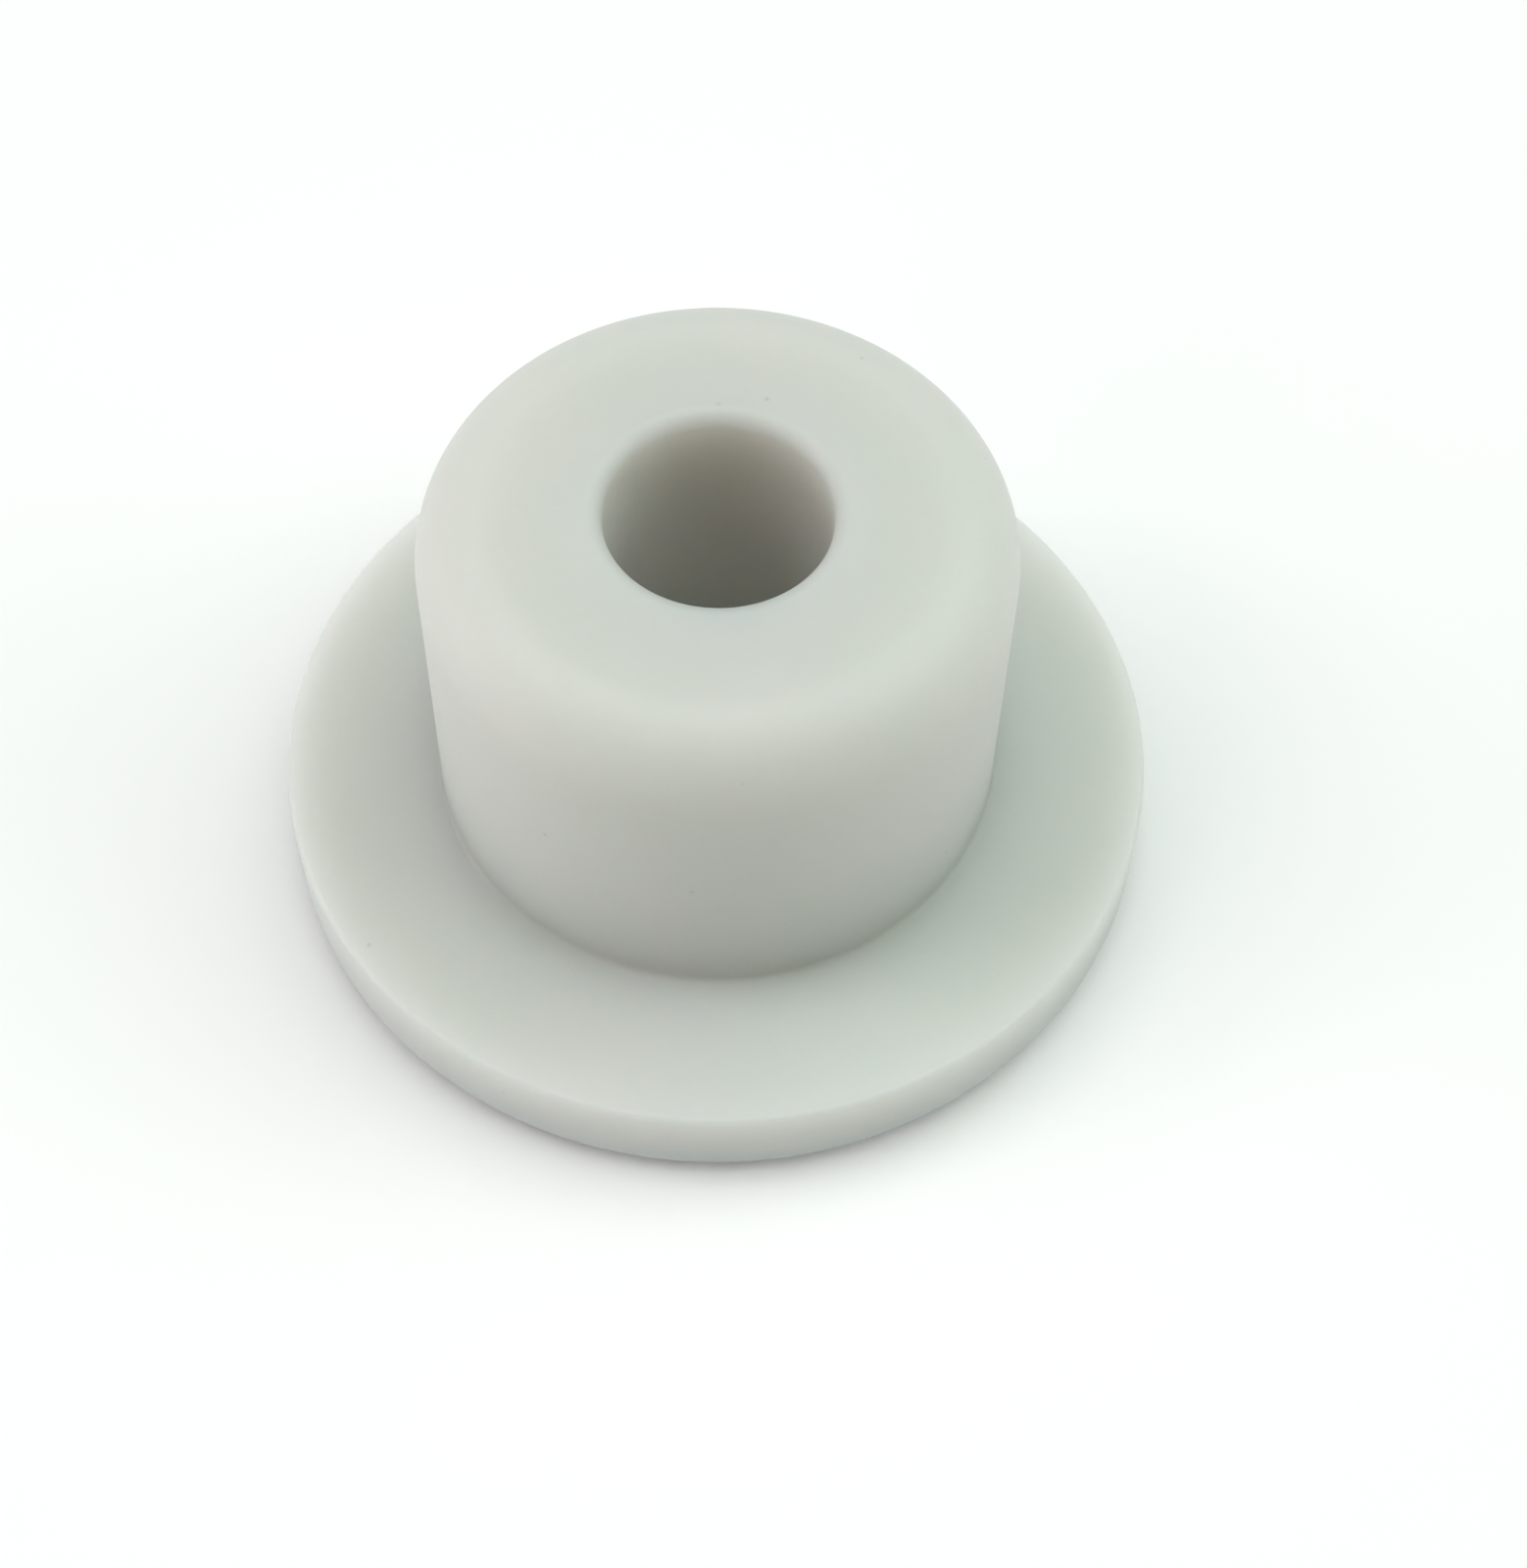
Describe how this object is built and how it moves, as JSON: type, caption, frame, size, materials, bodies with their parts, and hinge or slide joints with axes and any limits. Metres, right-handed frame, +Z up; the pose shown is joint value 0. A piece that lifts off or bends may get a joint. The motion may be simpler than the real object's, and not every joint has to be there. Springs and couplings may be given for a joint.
{
  "type": "silicone hole plug",
  "caption": "Moulded silicone hole plug: a round boss with a blind centre hole on a broad flat flange that covers the rim of the plugged hole.",
  "frame": {"origin": "centre of the flange's underside, which is the face the plug stands on", "axes": "+Z up the boss along the plug's axis, towards the tip with the blind hole; +X and +Y lie in the underside and are interchangeable"},
  "size_m": [0.031, 0.031, 0.0171],
  "materials": {
    "silicone": "matt, milky light grey, slightly translucent"
  },
  "bodies": {
    "root": {"plug_body": "silicone"}
  },
  "joints": []
}
